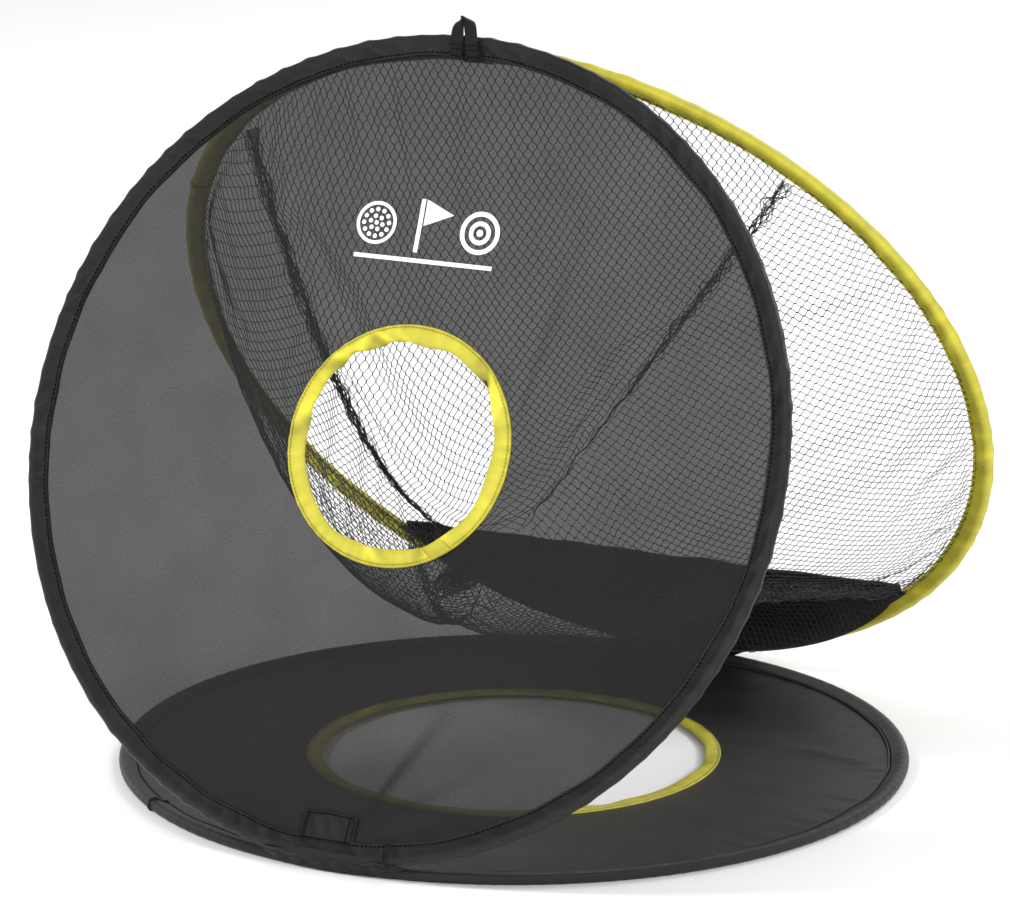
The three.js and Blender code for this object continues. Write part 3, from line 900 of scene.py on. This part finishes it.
# the netting that lies over the face of the lower panel
def panelNet():
    wide, high, knot = net["cellWide"] / 2, net["cellHigh"] / 2, net["knot"]
    lines = []
    level = np.arange(-90, 90)
    turn = math.radians(57)
    for column in range(-110, 110):
        side = np.where((level + column) % 2 == 0, 1, -1)
        px = np.repeat(column * wide + side * (wide / 2 - knotGap), 2)
        py = np.stack([level * high - knot, level * high + knot], 1).ravel()
        x = px * math.cos(turn) - py * math.sin(turn)
        y = -280 * mm + px * math.sin(turn) + py * math.cos(turn)
        reach = np.hypot(x, y)
        z = 3.4 * mm + 1.5 * mm * bumps(x, y, 0.03, 79) + overSleeve(reach)
        inside = (reach < panelRadius(y) - 3 * mm) & (y > -panelReach) & (y < -233 * mm)
        cuts = np.flatnonzero(np.diff(np.concatenate([[0], inside.astype(int), [0]])))
        points = np.stack([x, y, np.maximum(z, 2.4 * mm + overSleeve(reach))], 1)
        lines += [points[first:last] for first, last in zip(cuts[::2], cuts[1::2]) if last - first >= 3]
    return lines


gores = (("top", 45, 135, False), ("left", 135, 227, False), ("right", -47, 45, False),
         ("bottom", 227, 313, True))
netPieces = []
for name, start, end, hemmed in gores:
    strands = goreLines(start, end, hemmed)
    if hemmed:
        strands += panelNet()
    netPieces.append(makeThreads(f"net_{name}_strands", strands, net["twine"], netTwine, rearPlane, "rear",
                                 [f"net_{name}_gore"]))
    print(name, "gore made of", len(strands), "strands")


# bunched meshes along a seam: several threads that wander round each other
def seamLines(angle, seed, count, spread):
    own = np.random.default_rng(seed)
    depth = np.linspace(0, 0.99, 190)
    spine = onBag(np.full_like(depth, angle), depth)
    ahead = np.gradient(spine, axis=0)
    ahead /= np.linalg.norm(ahead, axis=1)[:, None]
    side = np.cross(ahead, np.array((0, 0, 1)))
    side /= np.linalg.norm(side, axis=1)[:, None]
    over = np.cross(side, ahead)
    lines = []
    for _ in range(count):
        a, b = (spread * sum(own.normal() * np.sin(depth * own.uniform(8, 95) + own.uniform(0, 6))
                             for _ in range(4)) / 2 for _ in range(2))
        taper = np.interp(depth, (0, 0.4, 0.6, 1), (1.4, 1.1, 0.55, 0.4))
        line = spine + side * (a * taper)[:, None] + over * 0.8 * (b * taper)[:, None]
        lines.append(line[:own.integers(80, len(depth) + 1)])
    return lines


for name, angle, seed, count, spread in (("upper_right", 45, 61, 12, 2.6 * mm),
                                         ("upper_left", 135, 62, 26, 3.6 * mm),
                                         ("lower_left", 227, 63, 14, 2.8 * mm),
                                         ("lower_right", 313, 64, 12, 2.4 * mm)):
    lines = seamLines(math.radians(angle), seed, count, spread)
    netPieces.append(makeThreads(f"net_seam_{name}", lines, 0.36 * mm, netTwine, rearPlane, "rear",
                                 [f"seam_cord_{name}"]))

# the gathered end: netting pulled through a tie and hanging out of it
tail = dict(length=68 * mm, threads=96, steps=44, neck=6 * mm, belly=15 * mm, twine=0.32 * mm, ties=4)
tailWay = Vector((0, 0, 1))
tailWay.rotate(Matrix.Rotation(-0.2, 3, "X"))
tailWay.rotate(Matrix.Rotation(-0.45, 3, "Y"))
tailAhead = np.array(tailWay)
tailSide = np.cross(tailAhead, (0, 1, 0))
tailSide /= np.linalg.norm(tailSide)
tailOver = np.cross(tailAhead, tailSide)
lines = []
for index in range(tail["threads"]):
    turn = 2 * math.pi * index / tail["threads"]
    along = np.linspace(0, draw.uniform(0.7, 1.05), tail["steps"])
    start = gatherPoint + net["gather"] * np.array((math.cos(turn), math.sin(turn), 0))
    reach = np.interp(along, (0, 0.17, 0.27, 0.52, 0.8, 1.05),
                      np.array((17, 6.2, 6.2, 13.5, 11, 5)) * mm) * draw.uniform(0.25, 1.0)
    turned = turn + 0.5 * np.sin(along * draw.uniform(3, 9)) + 0.12 * np.sin(along * draw.uniform(60, 110))
    wobble = np.sin(along * draw.uniform(30, 90) + draw.uniform(0, 6))
    reach = reach + 1.3 * mm * wobble * np.clip(along * 4, 0, 1)
    hanging = (gatherPoint + tailAhead * (along * tail["length"])[:, None]
               + (tailSide * np.cos(turned)[:, None] + tailOver * np.sin(turned)[:, None]) * reach[:, None])
    join = np.clip(along / 0.15, 0, 1)[:, None]
    lines.append(start * (1 - join) + hanging * join)
netPieces.append(makeThreads("net_tail_threads", lines, tail["twine"], netTwine, rearPlane, "rear",
                             ["net_tail"]))

around = np.linspace(0, 2 * math.pi * tail["ties"], 30 * tail["ties"])
where = 12 * mm + (around / around[-1] - 0.5) * 7 * mm
coil = (gatherPoint + tailAhead * where[:, None]
        + (tailSide * np.cos(around)[:, None] + tailOver * np.sin(around)[:, None])
        * (7.4 + 0.5 * np.sin(around * 3.3))[:, None] * mm)
ends = [coil[-1] + (tailSide * side * 16 + tailOver * 5) * mm * reach[:, None] + tailAhead * 9 * mm
        * reach[:, None] ** 2
        for side in (0.6, 1.0) for reach in (np.linspace(0, 1, 12),)]
mesh = threadMesh("net_tail_cord", [coil] + ends, 1.0 * mm, blackWebbing, 1)
paintMap(mesh, getPoints(mesh)[:, 0], getPoints(mesh)[:, 2])
mesh.transform(rearPlane)
netPieces.append(fasten("net_tail_cord", mesh, "rear", ["net_tail_tie"]))
for piece in netPieces:
    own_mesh(piece)
print("net strands made")


# flat cloth pieces: strips that start as a grid and follow a shape
# shape places a point of the strip from its share along and its share across, both 0 to 1
def makeStrip(name, cells, place, finish, body, nodes, shape, size, thickness, blend=None):
    bm = bmesh.new()
    bmesh.ops.create_grid(bm, x_segments=cells[0], y_segments=cells[1], size=0.5)
    return makePiece(name, bm, place, finish, body, nodes,
                     lambda flat: shape(flat[:, 0] + 0.5, flat[:, 1] + 0.5),
                     lambda flat: (flat[:, 0] * size[0], flat[:, 1] * size[1]), None, thickness, blend)


# separate stitches along a line of points, a little proud of the cloth
def stitchLine(points, pitch, raised):
    points = np.asarray(points, float)
    steps = np.r_[0, np.cumsum(np.linalg.norm(np.diff(points, axis=0), axis=1))]
    lines = []
    for start in np.arange(0, steps[-1] - pitch * 0.7, pitch):
        at = start + np.array((0, 0.12, 0.35, 0.6, 0.72)) * pitch
        line = np.stack([np.interp(at, steps, points[:, i]) for i in range(3)], 1)
        line[:, 2] += raised * np.array((-0.5, 0.7, 1, 0.7, -0.5))
        lines.append(line)
    return lines


panel = dict(hemHalf=5.5 * mm, wall=0.5 * mm)


def panelShape(u, v):
    y = -panelReach + (hemHigh + 3 * mm + panelReach) * v
    x = (2 * u - 1) * np.sqrt(np.maximum(panelRadius(y) ** 2 - y ** 2, 0))
    reach = np.hypot(x, y)
    free = (np.clip(v / 0.2, 0, 1) * np.clip((1 - np.abs(2 * u - 1)) / 0.06, 0, 1)
            * np.clip((318 * mm - reach) / (12 * mm), 0, 1))
    z = (1.3 * mm * bumps(x, y, 0.05, 71) + 0.7 * mm * np.sin(x * 210 + 3 * v)
         * np.clip((v - 0.4) * 2, 0, 1)) * free
    return np.stack([x, y, z + overSleeve(reach)], 1)


def hemShape(u, v):
    half = math.sqrt((318 * mm) ** 2 - hemHigh ** 2) - 1 * mm
    x = (2 * u - 1) * half
    y = hemHigh + (v - 0.5) * 2 * panel["hemHalf"] + 0.8 * mm * waves(u * 3, 3, 14, 72)
    z = 0.5 * mm * np.sin(x * 330 + v * 2) * (1 - v) + 0.7 * mm * waves(u * 4, 4, 18, 73)
    return np.stack([x, y, z], 1)


lowerPanel = makeStrip("rear_panel_cloth", (120, 26), rearPlane, lowerCloth, "rear", ["rear_lower_cloth"],
                       panelShape, (0.45, 0.095), panel["wall"])
hem = makeStrip("rear_panel_hem", (160, 8), rearPlane, lowerCloth, "rear", ["rear_lower_hem"], hemShape,
                (0.43, 0.011), 2.0 * mm)
across = np.linspace(0.01, 0.99, 220)
lines = []
for share in (0.16, 0.84):
    for side in (1, -1):
        lines += stitchLine(hemShape(across, np.full_like(across, share)) + (0, 0, side * 1.05 * mm),
                            3.2 * mm, side * 0.3 * mm)
makeThreads("rear_panel_hem_stitches", lines, 0.24 * mm, blackThread, rearPlane, "rear")

# the small sewn tab at the bottom of the front cloth
tab = dict(low=-291.5 * mm, high=-270.5 * mm, left=-24 * mm, right=18.5 * mm)


def tabShape(u, v):
    x = tab["left"] + (tab["right"] - tab["left"]) * u + 1.4 * mm * (v - 0.5)
    y = tab["low"] + (tab["high"] - tab["low"]) * v + 1.2 * mm * np.sin(u * 3.4) * v
    rim = np.minimum(np.minimum(u, 1 - u) * 9, np.minimum(v, 1 - v) * 6)
    z = frontHeight(x, y) + 1.5 * mm + 0.5 * mm * np.clip(1 - np.abs(rim - 0.5) * 2, 0, 1)
    z = z + 0.6 * mm * np.sin(u * 21 + v * 5) * np.clip(rim - 0.5, 0, 1) + 0.9 * mm * np.exp(-(u / 0.05) ** 2)
    return np.stack([x, y, z], 1)


patch = makeStrip("front_tab_cloth", (56, 32), frontPlane, patchCloth, "front", ["front_patch"], tabShape,
                  (0.042, 0.021), 0.7 * mm)
lines = []
along = np.linspace(0.03, 0.97, 60)
for u, v in ((along, 0 * along + 0.08), (along, 0 * along + 0.92), (0 * along + 0.035, along),
             (0 * along + 0.07, along), (0 * along + 0.96, along), (0 * along + 0.86, along)):
    lines += stitchLine(tabShape(u, v) + (0, 0, 0.5 * mm), 2.6 * mm, 0.5 * mm)
makeThreads("front_tab_stitches", lines, 0.34 * mm, blackThread, frontPlane, "front")

# the hang loop: one strap, sewn down at both ends, that stands up and turns over at its top
loop = dict(width=9.5 * mm, wall=1.3 * mm)
loopWay = np.array(((-5.6, 287.5, 3.4), (-5.8, 292, 4.6), (-6.0, 298, 6.0), (-6.2, 304, 6.6),
                    (-6.4, 309, 6.8), (-6.3, 313.2, 6.6), (-4.9, 316.4, 6.2), (-2.0, 317.0, 6.0),
                    (0.9, 314.6, 6.2), (3.2, 310.2, 6.6), (5.0, 304.6, 6.8), (6.4, 298, 6.2),
                    (7.4, 292, 4.6), (8.0, 287.5, 3.4))) * mm
loopAt = np.linspace(0, 1, len(loopWay))


def loopShape(u, v):
    centre = np.stack([np.interp(u, loopAt, loopWay[:, i]) for i in range(3)], 1)
    turn = math.pi * np.clip((u - 0.24) / 0.52, 0, 1)
    turn = turn - 0.5 * np.sin(2 * turn) * 0.5
    wide = (v - 0.5)[:, None] * loop["width"]
    return centre + wide * np.stack([np.cos(turn), 0.12 * np.sin(turn), np.sin(turn)], 1)


makeStrip("hang_loop_strap", (90, 10), frontPlane, blackWebbing, "front",
          ["hang_loop", "hang_loop_sewn_end"], loopShape, (0.07, 0.0095), loop["wall"],
          ("front", "hang_loop", tuple(frontPlane @ Vector((0, 304.5 * mm, 6.2 * mm))),
           tuple(frontPlane @ Vector((0, 308.5 * mm, 6.2 * mm)))))
lines = []
for u in (0.02, 0.10, 0.14, 0.86, 0.90, 0.98):
    lines += stitchLine(loopShape(np.full_like(along, u), along) + (0, 0, 0.75 * mm), 2.2 * mm, 0.35 * mm)
makeThreads("hang_loop_stitches", lines, 0.3 * mm, blackThread, frontPlane, "front")


# tapes that join each leaning sleeve to the ground sleeve
tape = dict(halfAngle=11.5, wall=0.6 * mm)


def tapeShape(plane, radius, side):
    turn, move = np.array(plane.to_3x3()), np.array(plane.translation)

    def shape(u, v):
        v = 0.5 + (v - 0.5) * np.maximum(np.sin(math.pi * u), 0.0) ** 0.8
        angle = np.radians((2 * u - 1) * tape["halfAngle"])
        out = np.stack([np.sin(angle), side * np.cos(angle), 0 * angle], 1)
        ground = out * (303 - 4.5) * mm + (0, 0, 4.5 * mm)
        bead = radius - beadRadius
        hoop = np.stack([bead * np.sin(angle), -bead * np.cos(angle), 0 * angle], 1) @ turn.T + move
        wrap = 5.5 * mm
        stops = [ground + out * wrap * 0.75 - (0, 0, 3.5 * mm), ground + out * wrap,
                 (ground + hoop) / 2 + out * 4.9 * mm,
                 hoop + out * wrap * 0.97 - (0, 0, 1.5 * mm), hoop + out * wrap * 0.55 + (0, 0, 5.2 * mm)]
        at = np.clip(v, 0, 1) * (len(stops) - 1)
        low = np.minimum(np.floor(at).astype(int), len(stops) - 2)
        share = at - low
        share = (share * share * (3 - 2 * share) * 0.5 + share * 0.5)[:, None]
        stops = np.array(stops)
        rows = np.arange(len(u))
        placed = stops[low, rows] * (1 - share) + stops[low + 1, rows] * share
        return placed + out * (0.45 * mm * np.sin(u * 47 + v * 5) * np.sin(math.pi * v))[:, None]
    return shape


for body, plane, radius, side in (("front", frontPlane, 305 * mm, -1), ("rear", rearPlane, 334 * mm, 1)):
    shape = tapeShape(plane, radius, side)
    middle = np.array((0.5, 0.5))
    start, end = shape(middle, np.array((0.30, 0.68)))
    makeStrip(body + "_hinge_cloth", (90, 16), Matrix.Identity(4), blackSleeve, "ground",
              [body + "_hinge_tape"], shape, (0.12, 0.024), tape["wall"], ("ground", body, tuple(start), tuple(end)))
print("flat pieces made")

# the printed mark on the front cloth: plain golf signs, a ball, a pennant and a target
mark = dict(middle=(-6 * mm, 157 * mm), lift=0.45 * mm, rings=((16, 12.4), (8.8, 5.4), (2.6, 0)),
            bar=56 * mm)


def markPiece(bm):
    bmesh.ops.triangulate(bm, faces=bm.faces)
    bmesh.ops.subdivide_edges(bm, edges=bm.edges, cuts=2, use_grid_fill=True)
    return bm


def addRing(bm, centre, outer, inner, steps=48):
    rim = bmesh.ops.create_circle(bm, radius=outer, segments=steps)["verts"]
    if inner:
        edges = list({edge for corner in rim for edge in corner.link_edges})
        grown = bmesh.ops.extrude_edge_only(bm, edges=edges)["geom"]
        corners = [part for part in grown if isinstance(part, bmesh.types.BMVert)]
        bmesh.ops.scale(bm, vec=(inner / outer, inner / outer, 1), verts=corners)
        rim = rim + corners
    else:
        bmesh.ops.contextual_create(bm, geom=rim)
    bmesh.ops.translate(bm, vec=(*centre, 0), verts=rim)


def addBlock(bm, corners):
    bmesh.ops.contextual_create(bm, geom=[bm.verts.new((*corner, 0)) for corner in corners])


bm = bmesh.new()
cx, cy = mark["middle"]
for outer, inner in mark["rings"]:
    addRing(bm, (cx + 42 * mm, cy + 4 * mm), outer * mm, inner * mm)
addRing(bm, (cx - 42 * mm, cy + 4 * mm), 16 * mm, 13.4 * mm)
for ring, count in ((0, 1), (5.0, 6), (10.0, 12)):
    for index in range(count):
        a = 2 * math.pi * index / count + ring
        addRing(bm, (cx - 42 * mm + ring * mm * math.cos(a), cy + 4 * mm + ring * mm * math.sin(a)),
                1.7 * mm, 0, 12)
addBlock(bm, ((cx - 9 * mm, cy - 15 * mm), (cx - 5.6 * mm, cy - 15 * mm), (cx - 5.6 * mm, cy + 25 * mm),
              (cx - 9 * mm, cy + 25 * mm)))
addBlock(bm, ((cx - 4.4 * mm, cy + 25 * mm), (cx - 4.4 * mm, cy + 5 * mm), (cx + 19 * mm, cy + 15 * mm)))
addBlock(bm, ((cx - mark["bar"], cy - 22.6 * mm), (cx + mark["bar"], cy - 22.6 * mm),
              (cx + mark["bar"], cy - 19.4 * mm), (cx - mark["bar"], cy - 19.4 * mm)))


def markShape(flat):
    return np.stack([flat[:, 0], flat[:, 1], frontHeight(flat[:, 0], flat[:, 1]) + mark["lift"]], 1)


makePiece("front_golf_signs", markPiece(bm), frontPlane, whitePrint, "front", (), markShape,
          thickness=0.12 * mm)

# ties at the top, and the joins of the sleeves
for body, plane, radius, sign in (("front", frontPlane, 305 * mm, -1), ("rear", rearPlane, 334 * mm, 1)):
    def tieShape(u, v, radius=radius, sign=sign):
        x = (u - 0.5) * 24 * mm
        y = radius - 15.2 * mm + v * 13 * mm
        return np.stack([x, y, sign * (np.interp(v, (0, 0.35, 0.8, 1), (3.2, 4.6, 5.6, 5.2)) * mm
                                       + 0.3 * mm * np.sin(u * 9))], 1)
    node = body + "_tie_tab"
    makeStrip(body + "_tie_strap", (30, 14), plane, blackWebbing, body, [node], tieShape, (0.024, 0.013),
              1.0 * mm)

joinWidth, floorGap = 3.4 * mm, -3.9 * mm
joins = {"ground": (-128, groundPlane), "front": (-81, frontPlane), "rear": (152, rearPlane)}
for body, (degrees, plane) in joins.items():
    settings = sleeves[body]
    radius = settings["radius"]
    ripple = sleeveRipple(radius, settings["gathers"], settings["depth"], settings["slant"], settings["seed"])
    bead = radius - beadRadius
    outline = np.array([(radius - 15.2 * mm, 1.9 * mm)]
                       + [(bead + (beadRadius + 0.55 * mm) * math.cos(a),
                           (beadRadius + 0.55 * mm) * math.sin(a))
                          for a in np.radians(np.linspace(125, -125, 15))]
                          + [(radius - 15.2 * mm, -1.9 * mm)])
    outlineAt = np.linspace(0, 1, len(outline))

    def lapShape(u, v, degrees=degrees, outline=outline, ripple=ripple, bead=bead):
        angle = math.radians(degrees) + (v - 0.5) * joinWidth / bead
        reach, height = (np.interp(u, outlineAt, outline[:, i]) for i in (0, 1))
        placed = ripple(np.stack([reach * np.cos(angle), reach * np.sin(angle), height], 1))
        placed[:, 2] = np.maximum(placed[:, 2], floorGap) if degrees == joins["ground"][0] else placed[:, 2]
        return placed
    makeStrip(body + "_sleeve_lap", (48, 10), plane, settings["finish"], body, (), lapShape, (0.04, 0.009),
              0.5 * mm)
    lines = []
    share = np.linspace(0.06, 0.94, 60)
    for side in (0.5,):
        line = lapShape(share, np.full_like(share, side))
        mid = np.array((bead * math.cos(math.radians(degrees)), bead * math.sin(math.radians(degrees)), 0))
        away = line - mid
        away /= np.linalg.norm(away, axis=1)[:, None]
        line = line + away * 0.4 * mm
        line[:, 2] = np.maximum(line[:, 2], floorGap) if body == "ground" else line[:, 2]
        lines += stitchLine(line, 2.6 * mm, 0.0)
    makeThreads(body + "_sleeve_lap_stitches", lines, 0.3 * mm, settings["thread"], plane, body)
print("mark, ties and joins made")
low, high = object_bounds()
